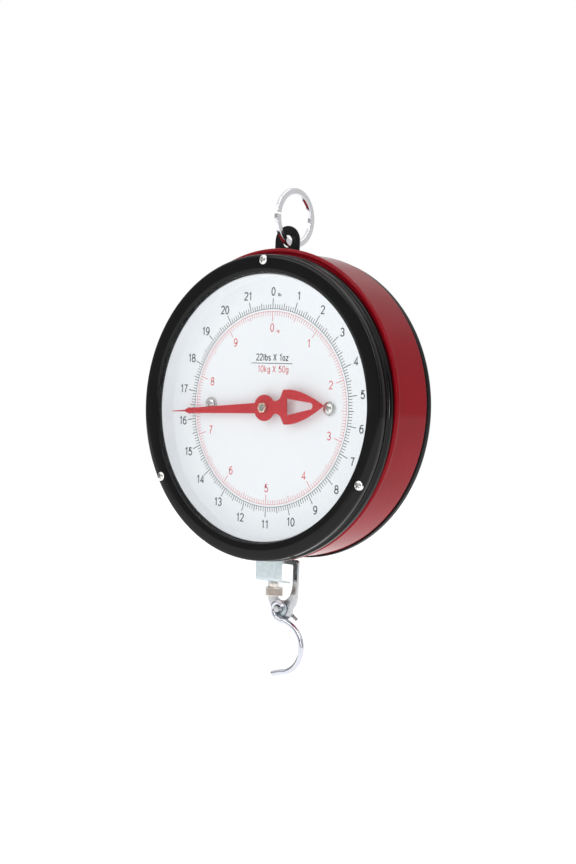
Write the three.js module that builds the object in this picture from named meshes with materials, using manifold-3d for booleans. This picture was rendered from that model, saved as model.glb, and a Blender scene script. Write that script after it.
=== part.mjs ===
// Hanging dial spring scale, 10 kg / 22 lb, with a rack and pinion movement.
// Millimetres. +Z up, the dial faces -Y, +X is to the reader's right.
// Parts are laid out from the centre of the dial face. The whole assembly is then moved so that
// the origin is the point where the hanging ring rests on its peg: the inner top of the ring.
import * as THREE from 'three';
import { mergeVertices } from 'three/addons/utils/BufferGeometryUtils.js';
import Module from 'manifold-3d';

const wasm = await Module();
wasm.setup();

// ---------------------------------------------------------------- driving dimensions
const CASE_R = 101; // outer radius of the drum
const BEAD_R = 103; // radius of the rolled bead at the drum's front edge
const DRUM_RISE = 2.2; // the drum sits this far above the dial's centre
const COVER_RISE = 1.2; // and the rear cover this far
const BEZEL_R = 100.8; // widest radius of the bezel's rear flange
const LIP_R = 88.3; // clear radius inside the bezel's lip
const SHEET = 1.1; // drum sheet thickness
const DRUM_END = 35.5; // Y of the drum's rear edge
const BACK = 52; // Y of the flat rear face
const FACE = -12.9; // Y of the bezel's front face
const RIM_SCREW_R = 96.4; // pitch circle of the bezel screws
const RIM_SCREW_ANGLES = [0.5, 118.4, 239]; // clockwise from the top, degrees
const REAR_SCREW_R = 96;
const REAR_SCREW_ANGLES = [60, 180, 300];

const RING_Y = 19.5; // centre of the hanging ring
const RING_Z = 126.8;
const RING_MEAN_R = 17.75;
const RING_WIRE = { radial: 4.5, across: 2.4 };

const PLATE = { y: 12, t: 1.6 }; // hanger plate: front face and thickness
const TAB = { half: 10, top: 121, holeZ: 110.8, holeR: 3.9 };
const SPRING = { x: 30, top: 68, bottom: -52, r: 4.8, wire: 1.3, turns: 13, coilTop: 56, coilBottom: -40 };

const MODULE = 0.5; // gear module
const TEETH = 16; // pinion teeth, so one turn is 25.13 mm of travel
const PITCH_R = MODULE * TEETH / 2;
const ADDENDUM = 0.9 * MODULE;
const DEDENDUM = 1.2 * MODULE;
const TOOTH_FILL = 0.8; // share of the nominal tooth thickness, the rest is backlash
const POINTER_ANGLE = 266.6; // clockwise from the top of the dial at rest, degrees

const STEM = { y: 21.05, t: 1.9, half: 4 }; // load yoke: front face, thickness, half width of its stem
const YOKE = { half: 12.6, top: -100.5, lobeR: 8.8, arm: 4.3 };
const PIN = { z: -133.8, r: 2.1 };
const HOOK = { y: 17.6, wireR: 1.95, eyeR: 4.3 };
const SCREW = { y: 12.4, r: 2, headTop: -118.9, headBottom: -124.6, headR: 6 };
const ZERO_SPRING = { r: 4.6, wire: 0.8, bottom: -111.9, top: -92.7, turns: 12 };
const BRACKET = { left: -11.3, right: 10.4, y: 6, t: 1.2, bottom: -114.6, depth: 10, droop: 1.3 };

const LARGE = 48; // sides of the case's round parts
const MEDIUM = 18; // sides of washers, bushes and bosses
const SMALL = 12; // sides of screws and screw holes

// ---------------------------------------------------------------- geometry helpers
const RAD = Math.PI / 180;
const point = (x, y) => new THREE.Vector2(x, y);
const points = (pairs) => pairs.map(([x, y]) => point(x, y));

// A closed solid from any closed three.js geometry, facing outwards.
function solid(geometry) {
  const bare = new THREE.BufferGeometry();
  bare.setAttribute('position', geometry.getAttribute('position'));
  bare.setIndex(geometry.getIndex());
  const merged = mergeVertices(bare, 1e-4);
  const position = merged.getAttribute('position').array;
  const index = merged.getIndex().array;
  const corner = (i) => new THREE.Vector3().fromArray(position, 3 * i);
  let triangles = [];
  let volume = 0;
  for (let i = 0; i < index.length; i += 3) {
    const [a, b, c] = index.slice(i, i + 3);
    if (a === b || b === c || c === a) continue;
    triangles.push([a, b, c]);
    volume += corner(a).dot(corner(b).cross(corner(c)));
  }
  if (volume < 0) triangles = triangles.map(([a, b, c]) => [a, c, b]);
  const mesh = new wasm.Mesh({
    numProp: 3,
    vertProperties: new Float32Array(position),
    triVerts: new Uint32Array(triangles.flat()),
  });
  return new wasm.Manifold(mesh);
}

// A body of revolution about a Y axis through (x, z); the profile is a list of [radius, y].
function turned(profile, sides, x = 0, z = 0) {
  const geometry = new THREE.LatheGeometry(points(profile), sides);
  geometry.translate(x, 0, z);
  return solid(geometry);
}

// A rod along Y, or a ring where an inner radius is given.
function rod(radius, y0, y1, sides, x = 0, z = 0, bore = 0) {
  const outside = [[radius, y0], [radius, y1]];
  const profile = bore > 0
    ? [[bore, y0], ...outside, [bore, y1], [bore, y0]]
    : [[0, y0], ...outside, [0, y1]];
  return turned(profile, sides, x, z);
}

// A body of revolution about a vertical axis through (x, y); the profile is a list of [radius, z].
function upright(profile, sides, x, y) {
  const geometry = new THREE.LatheGeometry(points(profile), sides);
  geometry.rotateX(Math.PI / 2);
  geometry.translate(x, y, 0);
  return solid(geometry);
}

function box(x0, x1, y0, y1, z0, z1) {
  const geometry = new THREE.BoxGeometry(x1 - x0, y1 - y0, z1 - z0);
  geometry.translate((x0 + x1) / 2, (y0 + y1) / 2, (z0 + z1) / 2);
  return solid(geometry);
}

// A flat plate cut to an outline in X and Z, with its front face at y0.
function plate(shape, y0, thickness, curveSegments = 10) {
  const geometry = new THREE.ExtrudeGeometry(shape, { depth: thickness, bevelEnabled: false, curveSegments });
  geometry.rotateX(Math.PI / 2);
  geometry.translate(0, y0 + thickness, 0);
  return solid(geometry);
}

// A section in Y and Z extruded from x0 to x1.
function section(shape, x0, x1) {
  const geometry = new THREE.ExtrudeGeometry(shape, { depth: x1 - x0, bevelEnabled: false });
  geometry.rotateY(Math.PI / 2);
  geometry.rotateX(Math.PI / 2);
  geometry.translate(x0, 0, 0);
  return solid(geometry);
}

// A round wire along a curve.
function wire(curve, radius, sides, steps) {
  const shape = new THREE.Shape();
  for (let i = 0; i < sides; i += 1) {
    const angle = 2 * Math.PI * i / sides;
    const at = [radius * Math.cos(angle), radius * Math.sin(angle)];
    if (i === 0) shape.moveTo(...at);
    else shape.lineTo(...at);
  }
  shape.closePath();
  return solid(new THREE.ExtrudeGeometry(shape, { steps, bevelEnabled: false, extrudePath: curve }));
}

const polygon = (pairs) => new THREE.Shape(points(pairs));

// Holes run anticlockwise, whichever way their outline runs.
function circleHole(x, z, radius) {
  const hole = new THREE.Path();
  hole.absarc(x, z, radius, 0, 2 * Math.PI, false);
  return hole;
}

// Position on a circle about the dial's axis, clockwise from the top.
function clock(radius, degrees) {
  return [radius * Math.sin(degrees * RAD), radius * Math.cos(degrees * RAD)];
}

const REAR_SCREWS = REAR_SCREW_ANGLES.map((angle) => {
  const [x, z] = clock(REAR_SCREW_R, angle);
  return [x, z + DRUM_RISE];
});

// ---------------------------------------------------------------- assembly
const scale = new THREE.Group();
scale.position.set(0, -RING_Y, -(RING_Z + RING_MEAN_R - RING_WIRE.radial / 2));

const finish = {
  chrome: { color: 0xdcdde2, roughness: 0.12, metalness: 1 },
  black: { color: 0x1c1c1d, roughness: 0.4, metalness: 0 },
  red: { color: 0xa02832, roughness: 0.3, metalness: 0.2 },
  pointer: { color: 0xd73c41, roughness: 0.4, metalness: 0.1 },
  white: { color: 0xecf0f4, roughness: 0.35, metalness: 0 },
  clear: { color: 0xf4f8fa, roughness: 0.05, metalness: 0, transparent: true, opacity: 0.25 },
  zinc: { color: 0xb9c6ce, roughness: 0.35, metalness: 1 },
  steel: { color: 0xb4b6b8, roughness: 0.35, metalness: 1 },
  brass: { color: 0xb5945a, roughness: 0.3, metalness: 1 },
  nickel: { color: 0xa8998c, roughness: 0.35, metalness: 1 },
  nylon: { color: 0xe6e2d6, roughness: 0.5, metalness: 0 },
};

function add(name, look, body) {
  const mesh = body.getMesh();
  const geometry = new THREE.BufferGeometry();
  geometry.setAttribute('position', new THREE.Float32BufferAttribute(mesh.vertProperties, 3));
  geometry.setIndex(new THREE.Uint32BufferAttribute(mesh.triVerts, 1));
  geometry.computeVertexNormals();
  const part = new THREE.Mesh(geometry, new THREE.MeshStandardMaterial(finish[look]));
  part.name = name;
  scale.add(part);
}

// ---------------------------------------------------------------- hanging ring
// A split ring of rectangular wire that stands in the Y-Z plane and threads the hanger plate's hole.
function hangingRing() {
  const half = RING_WIRE.radial / 2;
  const inner = RING_MEAN_R - half;
  const outer = RING_MEAN_R + half;
  const side = RING_WIRE.across / 2;
  const chamfer = 0.6;
  const profile = [
    [inner, -side + chamfer], [inner + chamfer, -side], [outer - chamfer, -side], [outer, -side + chamfer],
    [outer, side - chamfer], [outer - chamfer, side], [inner + chamfer, side], [inner, side - chamfer],
    [inner, -side + chamfer],
  ];
  const geometry = new THREE.LatheGeometry(points(profile), 40);
  geometry.rotateZ(-Math.PI / 2);
  geometry.translate(0, RING_Y, RING_Z);
  const gap = 1;
  const slit = box(-side - 1, side + 1, RING_Y - outer - 1, RING_Y - inner + 1, RING_Z + 1, RING_Z + 1 + gap);
  return solid(geometry).subtract(slit);
}
add('hanging_ring', 'chrome', hangingRing());

// ---------------------------------------------------------------- case
// Rolled front edge, inward flanges at both ends, a slot at the top for the hanger plate
// and an opening at the bottom for the load parts.
function caseDrum() {
  const inner = CASE_R - SHEET;
  const profile = [
    [CASE_R, DRUM_END], [CASE_R, 4.8], [101.6, 4], [102.6, 3.4], [BEAD_R, 2.4], [BEAD_R, 1.2], [102.4, 0.2],
    [101.2, 0], [100.2, 0.4], [99.4, 1], [91.5, 1], [91.5, 2], [99.2, 2.1], [inner, 3.2], [inner, DRUM_END - SHEET],
    [93, DRUM_END - SHEET], [93, DRUM_END], [CASE_R, DRUM_END],
  ];
  let drum = turned(profile, LARGE, 0, DRUM_RISE);
  for (const angle of RIM_SCREW_ANGLES) drum = drum.subtract(rod(1.9, -1, 4, SMALL, ...clock(RIM_SCREW_R, angle)));
  for (const at of REAR_SCREWS) drum = drum.subtract(rod(1.9, 30, 40, SMALL, ...at));
  drum = drum.subtract(box(-TAB.half - 0.5, TAB.half + 0.5, PLATE.y - 0.5, PLATE.y + PLATE.t + 0.5, 90, 110));
  return drum.subtract(box(-13.5, 13.5, 4.8, 25, -110, -90));
}
add('case_drum', 'red', caseDrum());

// Moulded bezel: convex front face, rounded outer corner, a groove and a rear flange. It is a channel
// open to the rear, with a boss at each screw, and a rebate behind the lip for the lens.
function bezel() {
  const rebate = 90.9;
  const outline = [
    [LIP_R, -11.3], [LIP_R, -12.3], [89, FACE], [93, -13.3], [97.4, -13.3], [99, -13], [99.9, -12.3], [100.2, -11.2],
    [100.2, -9], [99.2, -6], [99.2, -5], [100.4, -3.8], [BEZEL_R, -2.8], [BEZEL_R, -0.4], [rebate, -0.4],
    [rebate, -11.3], [LIP_R, -11.3],
  ];
  const whole = turned(outline, LARGE);
  const channel = turned([[92.9, -10.8], [96.6, -10.8], [96.6, 0], [92.9, 0], [92.9, -10.8]], LARGE);
  let body = whole.subtract(channel);
  for (const angle of RIM_SCREW_ANGLES) {
    const at = clock(RIM_SCREW_R, angle);
    body = body.add(rod(3.6, -12, -0.4, MEDIUM, ...at).intersect(whole));
    body = body.subtract(rod(1.9, -14, 0, SMALL, ...at));
    body = body.subtract(rod(3.6, -16, -12.1, MEDIUM, ...at));
  }
  return body;
}
add('bezel', 'black', bezel());

// Pan-head screw pointing in +Y, with a cross recess in its head.
function panScrew(headY, headR, headT, shankR, tipY, x, z) {
  const profile = [
    [0, headY - headT], [headR * 0.55, headY - headT * 0.9], [headR * 0.9, headY - headT * 0.5], [headR, headY],
    [shankR, headY], [shankR, tipY - shankR], [0, tipY],
  ];
  let body = turned(profile, SMALL, x, z);
  const arm = headR * 0.5;
  const width = headR * 0.14;
  const depth = headT * 0.5;
  for (const [dx, dz] of [[arm, width], [width, arm]]) {
    body = body.subtract(box(x - dx, x + dx, headY - headT - 1, headY - headT + depth, z - dz, z + dz));
  }
  return body;
}

// Each bezel screw is held by a fork-shaped clip behind the drum's front flange.
RIM_SCREW_ANGLES.forEach((angle, i) => {
  const at = clock(RIM_SCREW_R, angle);
  add(`bezel_screw_${i + 1}`, 'steel', panScrew(-12.4, 3.4, 2.1, 1.5, 7, ...at));
  const bore = rod(1.7, 0, 8, SMALL, 0, RIM_SCREW_R).add(box(-1.6, 1.6, 0, 8, RIM_SCREW_R, RIM_SCREW_R + 3));
  const clip = box(-3.8, 3.8, 2.6, 3.7, RIM_SCREW_R - 5, RIM_SCREW_R + 1.1).subtract(bore);
  add(`bezel_clip_${i + 1}`, 'zinc', clip.rotate(0, angle, 0));
});

add('lens', 'clear', rod(90.5, -11, -9.5, LARGE));
add('lens_gasket', 'black', rod(90.6, -9.2, 0.6, LARGE, 0, 0, LIP_R));

// ---------------------------------------------------------------- dial
const DIAL_SCREW_X = 50.3;
const DIAL_SCREW_Z = 1.1;
// A shallow dish: a flat printed face with a short wall round it.
function dialPlate() {
  const profile = [[0, 0], [84.8, 0], [86.1, -1.2], [86.9, -9], [87.9, -9], [87.9, 0.8], [0, 0.8]];
  let body = turned(profile, LARGE).subtract(rod(4.2, -1, 2, MEDIUM));
  for (const x of [-DIAL_SCREW_X, DIAL_SCREW_X]) body = body.subtract(rod(1.9, -1, 2, SMALL, x, DIAL_SCREW_Z));
  return body;
}
add('dial_plate', 'white', dialPlate());

for (const [side, x] of [['left', -DIAL_SCREW_X], ['right', DIAL_SCREW_X]]) {
  add(`dial_washer_${side}`, 'steel', rod(4.8, -0.9, -0.3, MEDIUM, x, DIAL_SCREW_Z, 1.8));
  add(`dial_screw_${side}`, 'steel', panScrew(-1.2, 3.3, 1.3, 1.5, 5, x, DIAL_SCREW_Z));
}

// ---------------------------------------------------------------- movement frame
const PILLARS = [[-13.5, 18], [13.5, 18], [-13.5, -18], [13.5, -18]];

function movementBridge() {
  const shape = polygon([
    [-58, -9], [-17, -9], [-17, -24], [17, -24], [17, -9], [58, -9],
    [58, 9], [17, 9], [17, 24], [-17, 24], [-17, 9], [-58, 9],
  ]);
  shape.holes.push(circleHole(0, 0, 4));
  for (const [x, z] of PILLARS) shape.holes.push(circleHole(x, z, 1.8));
  for (const x of [-DIAL_SCREW_X, DIAL_SCREW_X]) shape.holes.push(circleHole(x, DIAL_SCREW_Z, 1.8));
  return plate(shape, 1.2, 1.6, 5);
}
add('movement_bridge', 'zinc', movementBridge());

// Flanged bush for the spindle; the flange is on the side of flangeY.
function bush(y0, y1, flangeY0, flangeY1) {
  const barrel = rod(3.7, y0, y1, SMALL);
  return barrel.add(rod(5, flangeY0, flangeY1, MEDIUM)).subtract(rod(1.64, y0 - 2, y1 + 2, SMALL));
}
add('front_bush', 'brass', bush(1.1, 4, 3.1, 4.4));
add('rear_bush', 'brass', bush(10.9, 14.8, 13.9, 14.8));

PILLARS.forEach(([x, z], i) => {
  const shouldered = [[0, 1.3], [1.5, 1.3], [1.5, 3.1], [2.6, 3.1], [2.6, 11.7], [0, 11.7]];
  const tapped = rod(1.25, 9, 12, 8, x, z);
  add(`movement_pillar_${i + 1}`, 'steel', turned(shouldered, SMALL, x, z).subtract(tapped));
  const screw = [[0, 9.4], [0.95, 9.4], [0.95, 13.9], [2.4, 13.9], [2.4, 14.8], [1.8, 15.3], [0, 15.4]];
  add(`movement_screw_${i + 1}`, 'steel', turned(screw, 8, x, z));
});

// The hanger plate carries everything: the tab above the case holds the ring, the upper arms hold
// the springs, and the stem holds the spindle's rear bush and the case posts.
const POSTS = [['top', 42], ['bottom', -28]];
function hangerPlate() {
  const shape = new THREE.Shape();
  const shoulder = TAB.top - TAB.half;
  shape.moveTo(-38, 76);
  shape.lineTo(-TAB.half, 80);
  shape.absarc(0, shoulder, TAB.half, Math.PI, 0, true);
  shape.lineTo(TAB.half, 80);
  for (const [x, z] of [[38, 76], [38, 62], [17, 54], [17, -34], [-17, -34], [-17, 54], [-38, 62]]) {
    shape.lineTo(x, z);
  }
  shape.closePath();
  shape.holes.push(circleHole(0, TAB.holeZ, TAB.holeR));
  shape.holes.push(circleHole(0, 0, 4));
  for (const x of [-SPRING.x, SPRING.x]) shape.holes.push(circleHole(x, SPRING.top, 2.3));
  for (const [, z] of POSTS) shape.holes.push(circleHole(0, z, 2));
  for (const [x, z] of PILLARS) shape.holes.push(circleHole(x, z, 1.4));
  return plate(shape, PLATE.y, PLATE.t, 7);
}
add('hanger_plate', 'black', hangerPlate());

add('rack_guide', 'nylon', box(9, 12.4, 6.4, 11.7, -8, 8));

// ---------------------------------------------------------------- rear cover
function rearCover() {
  const profile = [
    [0, BACK], [82, BACK], [85.5, 51], [98, 43], [100.6, 41], [101.2, 39.6], [101.2, 36.6], [100.8, 35.9],
    [91, 35.9], [91, 43], [83, 49.4], [80, 50], [0, 50],
  ];
  let body = turned(profile, LARGE, 0, COVER_RISE);
  for (const at of REAR_SCREWS) {
    body = body.subtract(rod(1.9, 34, 60, SMALL, ...at)).subtract(rod(3.6, 40, 60, SMALL, ...at));
  }
  for (const [, z] of POSTS) {
    body = body.add(rod(6.5, 46.2, 51, MEDIUM, 0, z));
    body = body.subtract(rod(1.9, 40, 60, SMALL, 0, z)).subtract(rod(4.2, 49.4, 60, SMALL, 0, z));
  }
  return body;
}
add('rear_cover', 'black', rearCover());

// Screw whose head faces +Y and whose shank points to the front.
function rearScrew(seatY, headR, headT, shankR, tipY, x, z) {
  const profile = [
    [0, tipY], [shankR, tipY + shankR], [shankR, seatY], [headR, seatY], [headR * 0.9, seatY + headT * 0.6],
    [headR * 0.5, seatY + headT], [0, seatY + headT],
  ];
  const arm = headR * 0.5;
  const width = headR * 0.14;
  let body = turned(profile, SMALL, x, z);
  for (const [dx, dz] of [[arm, width], [width, arm]]) {
    body = body.subtract(box(x - dx, x + dx, seatY + headT * 0.5, seatY + headT + 1, z - dz, z + dz));
  }
  return body;
}
REAR_SCREWS.forEach((at, i) => {
  add(`rear_screw_${i + 1}`, 'steel', rearScrew(40.3, 3.1, 1.8, 1.5, 31, ...at));
});
for (const [where, z] of POSTS) {
  const outline = [[0, 11.4], [1.7, 11.4], [1.7, 13.9], [4, 13.9], [4, 45.9], [0, 45.9]];
  add(`case_post_${where}`, 'steel', turned(outline, SMALL, 0, z).subtract(rod(1.8, 38, 47, SMALL, 0, z)));
  add(`case_post_screw_${where}`, 'steel', rearScrew(49.7, 3.6, 1.8, 1.5, 38.6, 0, z));
}

// ---------------------------------------------------------------- pointer and spindle
// Drawn pointing up at X = 0 and then turned to its reading at rest.
function pointerPlate() {
  const hubR = 8.65;
  const needle = new THREE.Shape();
  needle.moveTo(-3.3, 7);
  needle.lineTo(-1.7, 64.5);
  needle.lineTo(-2.2, 66);
  needle.lineTo(-0.5, 70);
  needle.lineTo(-0.3, 81);
  needle.lineTo(0.3, 81);
  needle.lineTo(0.5, 70);
  needle.lineTo(2.2, 66);
  needle.lineTo(1.7, 64.5);
  needle.lineTo(3.3, 7);
  needle.closePath();
  const tail = new THREE.Shape();
  tail.moveTo(-5, -6);
  tail.lineTo(-4.4, -10.7);
  tail.quadraticCurveTo(-4.8, -13.2, -6.3, -13.9);
  tail.lineTo(-11.3, -16.3);
  tail.quadraticCurveTo(-12.6, -29.4, 0, -48.9);
  tail.quadraticCurveTo(12.6, -29.4, 11.3, -16.3);
  tail.lineTo(6.3, -13.9);
  tail.quadraticCurveTo(4.8, -13.2, 4.4, -10.7);
  tail.lineTo(5, -6);
  tail.closePath();
  const window = new THREE.Path();
  window.moveTo(-5.4, -19.1);
  window.lineTo(5.4, -19.1);
  window.lineTo(2.2, -38.2);
  window.quadraticCurveTo(0, -42.6, -2.2, -38.2);
  window.closePath();
  tail.holes.push(window);
  const y = -5.6;
  const body = plate(needle, y, 0.9).add(plate(tail, y, 0.9, 8)).add(rod(hubR, y, y + 0.9, 24));
  return body.subtract(rod(1.8, -10, 0, SMALL)).rotate(0, POINTER_ANGLE, 0);
}
add('pointer', 'pointer', pointerPlate());
add('pointer_collar', 'brass', rod(3.6, -4.4, -0.6, SMALL, 0, 0, 1.8));
add('pointer_nut', 'brass', rod(3.5, -8.3, -5.9, 6, 0, 0, 1.8));
add('spindle', 'steel', turned([[0, -9], [1.2, -9], [1.5, -8.7], [1.5, 15.6], [0, 15.9]], SMALL));

// Pinion outline with one tooth pointing in +X.
function pinion() {
  const toothPitch = 360 / TEETH;
  const half = toothPitch / 4 * TOOTH_FILL;
  const flank = [
    [PITCH_R - DEDENDUM, -1.7 * half], [PITCH_R, -half], [PITCH_R + ADDENDUM, -0.42 * half],
    [PITCH_R + ADDENDUM, 0.42 * half], [PITCH_R, half], [PITCH_R - DEDENDUM, 1.7 * half],
  ];
  const outline = [];
  for (let tooth = 0; tooth < TEETH; tooth += 1) {
    for (const [radius, offset] of flank) {
      const angle = (tooth * toothPitch + offset) * RAD;
      outline.push([radius * Math.cos(angle), radius * Math.sin(angle)]);
    }
  }
  const shape = polygon(outline);
  shape.holes.push(circleHole(0, 0, 1.8));
  return plate(shape, 7.4, 3.2, 3);
}
add('pinion', 'brass', pinion());

// ---------------------------------------------------------------- load parts
// Straight-toothed rack to the right of the pinion. It runs down to a foot that the zero screw threads.
function rack() {
  const pitch = Math.PI * MODULE;
  const half = pitch / 4 * TOOTH_FILL;
  const slope = Math.tan(20 * RAD);
  const tip = PITCH_R - ADDENDUM;
  const root = PITCH_R + DEDENDUM;
  const lowest = -4;
  const highest = 24;
  const outline = [[8.6, -84], [8.6, (highest + 1) * pitch], [root, (highest + 1) * pitch]];
  for (let tooth = highest; tooth >= lowest; tooth -= 1) {
    const z = (tooth + 0.5) * pitch;
    outline.push([root, z + half + DEDENDUM * slope], [tip, z + half - ADDENDUM * slope]);
    outline.push([tip, z - half + ADDENDUM * slope], [root, z - half - DEDENDUM * slope]);
  }
  outline.push([root, -84]);
  const foot = box(-4, 8.6, 7.6, 16.6, -92, -84).subtract(upright([[0, -95], [2.3, -95], [2.3, -80], [0, -80]],
    16, 0, SCREW.y));
  return plate(polygon(outline), 7.6, 3).add(foot);
}
add('rack', 'brass', rack());

// The beam joins the two springs, the yoke and the front bracket.
const BEAM = { half: 37, top: -46, bottom: -58, shelf: 25 };
const RIVETS = [['left', -7], ['right', 1]];
const RIVET_Z = -51;
function loadBeam() {
  const shape = polygon([[-BEAM.half, BEAM.top], [-BEAM.half, BEAM.bottom], [BEAM.half, BEAM.bottom],
    [BEAM.half, BEAM.top]]);
  for (const x of [-SPRING.x, SPRING.x]) shape.holes.push(circleHole(x, SPRING.bottom, 2.3));
  for (const [, x] of RIVETS) shape.holes.push(circleHole(x, RIVET_Z, 1.8));
  const shelf = box(-9, 9, PLATE.y + 0.5, BEAM.shelf, BEAM.bottom, BEAM.bottom + PLATE.t);
  const slot = box(-STEM.half - 0.3, STEM.half + 0.3, STEM.y - 0.3, STEM.y + STEM.t + 0.3, -60, -50);
  return plate(shape, PLATE.y, PLATE.t).add(shelf).subtract(slot);
}
add('load_beam', 'zinc', loadBeam());

// Folded plate in front of the beam; its lower flange carries the zero screw.
function loadBracket() {
  const { left, right, y, t, bottom, depth, droop } = BRACKET;
  const fold = 1.6;
  const profile = polygon([
    [y, -46], [y, bottom + fold], [y + fold, bottom], [y + depth, bottom - droop], [y + depth, bottom - droop + t],
    [y + fold + t * 0.6, bottom + t], [y + t, bottom + fold + t * 0.6], [y + t, -46],
  ]);
  let body = section(profile, left, right);
  body = body.subtract(upright([[0, -120], [2.3, -120], [2.3, -110], [0, -110]], 16, 0, SCREW.y));
  for (const [, x] of RIVETS) body = body.subtract(rod(1.8, 0, 10, 12, x, RIVET_Z));
  return body;
}
add('load_bracket', 'zinc', loadBracket());

for (const [side, x] of RIVETS) {
  const outline = [
    [0, 4.7], [2, 4.8], [2.8, 5.7], [1.5, 5.7], [1.5, 7.5], [2.5, 7.5], [2.5, 11.7], [1.5, 11.7], [1.5, 13.9],
    [2.8, 13.9], [2, 14.8], [0, 14.9],
  ];
  add(`load_rivet_${side}`, 'steel', turned(outline, SMALL, x, RIVET_Z));
}

// Stamped stirrup: a stem with a T head that hangs in the beam's shelf, a closed loop below the case
// and a lobe that carries the hook's pin.
function yoke() {
  const { half, top, lobeR, arm } = YOKE;
  const outer = new THREE.Shape();
  const headTop = -50.6;
  const headBottom = -56;
  outer.moveTo(-STEM.half, top);
  outer.lineTo(-STEM.half, headBottom);
  outer.lineTo(-7, headBottom);
  outer.lineTo(-7, headTop);
  outer.lineTo(7, headTop);
  outer.lineTo(7, headBottom);
  outer.lineTo(STEM.half, headBottom);
  outer.lineTo(STEM.half, top);
  outer.lineTo(half - 1.5, top);
  outer.quadraticCurveTo(half, top, half, top - 1.5);
  outer.lineTo(half, -126);
  outer.quadraticCurveTo(half, -130, lobeR + 1.2, PIN.z);
  outer.absarc(0, PIN.z, lobeR, -20 * RAD, -160 * RAD, true);
  outer.lineTo(-lobeR - 1.2, PIN.z);
  outer.quadraticCurveTo(-half, -130, -half, -126);
  outer.lineTo(-half, top - 1.5);
  outer.quadraticCurveTo(-half, top, -half + 1.5, top);
  outer.closePath();
  const inner = half - arm;
  const opening = new THREE.Path();
  opening.moveTo(-inner, top - 3.4);
  opening.lineTo(-inner, -119);
  opening.quadraticCurveTo(-inner, -124.5, -3.4, -128.4);
  opening.lineTo(3.4, -128.4);
  opening.quadraticCurveTo(inner, -124.5, inner, -119);
  opening.lineTo(inner, top - 3.4);
  opening.closePath();
  outer.holes.push(opening);
  outer.holes.push(circleHole(0, PIN.z, PIN.r + 0.3));
  return plate(outer, STEM.y, STEM.t, 8);
}
add('yoke', 'steel', yoke());

add('hook_pin', 'steel', turned([
  [0, 15], [PIN.r - 0.5, 15], [PIN.r, 15.5], [PIN.r, 27.4], [0, 27.4],
], MEDIUM, 0, PIN.z).subtract(cotterAxis(1.6)));
add('pin_washer', 'zinc', rod(4.9, 19.8, 20.75, MEDIUM, 0, PIN.z, PIN.r + 0.3));

// The cotter's line crosses the pin behind the yoke and points down to the right.
function cotterAxis(radius) {
  const turn = 35 * RAD;
  const reach = 13;
  const way = new THREE.LineCurve3(
    new THREE.Vector3(-reach * 0.8 * Math.cos(turn), 25, PIN.z + reach * 0.8 * Math.sin(turn)),
    new THREE.Vector3(reach * Math.cos(turn), 25, PIN.z - reach * Math.sin(turn)),
  );
  return wire(way, radius, 10, 1);
}
add('cotter_pin', 'steel', cotterAxis(1.3));

add('zero_screw', 'nickel', upright([
  [0, SCREW.headBottom], [SCREW.headR - 0.5, SCREW.headBottom], [SCREW.headR, SCREW.headBottom + 0.5],
  [SCREW.headR, SCREW.headTop - 0.5], [SCREW.headR - 0.5, SCREW.headTop], [3.2, SCREW.headTop],
  [3.2, -116.3], [SCREW.r, -116.3], [SCREW.r, -82.5], [0, -82],
], 24, 0, SCREW.y));
add('zero_screw_clip', 'steel', upright([
  [SCREW.r + 0.3, -113.3], [3.6, -113.3], [3.6, -112.6], [SCREW.r + 0.3, -112.6], [SCREW.r + 0.3, -113.3],
], SMALL, 0, SCREW.y));

// Coil round the zero screw that takes up the play of its thread.
function zeroSpring() {
  const { r, wire: thickness, bottom, top, turns } = ZERO_SPRING;
  const stepsPerTurn = 8;
  const steps = turns * stepsPerTurn;
  const path = [];
  for (let k = 0; k <= steps; k += 1) {
    const angle = 2 * Math.PI * k / stepsPerTurn;
    const z = bottom + (top - bottom) * k / steps;
    path.push(new THREE.Vector3(r * Math.cos(angle), SCREW.y + r * Math.sin(angle), z));
  }
  const curve = new THREE.CatmullRomCurve3(path, false, 'centripetal');
  return wire(curve, thickness / 2, 4, path.length);
}
add('zero_spring', 'steel', zeroSpring());

// ---------------------------------------------------------------- springs
// Extension spring: a helix whose ends turn in to hooks through the plate and the beam.
function spring(x) {
  const y = PLATE.y + PLATE.t / 2;
  const path = [];
  const hookR = 3;
  const loop = (z, sign) => {
    const arc = [];
    for (let k = 0; k <= 5; k += 1) {
      const angle = (k / 5) * 1.25 * Math.PI;
      arc.push(new THREE.Vector3(x, y + hookR * Math.cos(angle), z + sign * hookR * Math.sin(angle)));
    }
    return arc;
  };
  path.push(...loop(SPRING.top - 2.2, 1).reverse());
  const stepsPerTurn = 8;
  const steps = SPRING.turns * stepsPerTurn;
  for (let k = 0; k <= steps; k += 1) {
    const angle = 2 * Math.PI * k / stepsPerTurn;
    const z = SPRING.coilTop + (SPRING.coilBottom - SPRING.coilTop) * k / steps;
    path.push(new THREE.Vector3(x + SPRING.r * Math.sin(angle), y + SPRING.r * Math.cos(angle), z));
  }
  path.push(...loop(SPRING.bottom + 2.2, -1));
  const curve = new THREE.CatmullRomCurve3(path, false, 'centripetal');
  return wire(curve, SPRING.wire / 2, 4, path.length);
}
add('spring_left', 'steel', spring(-SPRING.x));
add('spring_right', 'steel', spring(SPRING.x));

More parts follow.
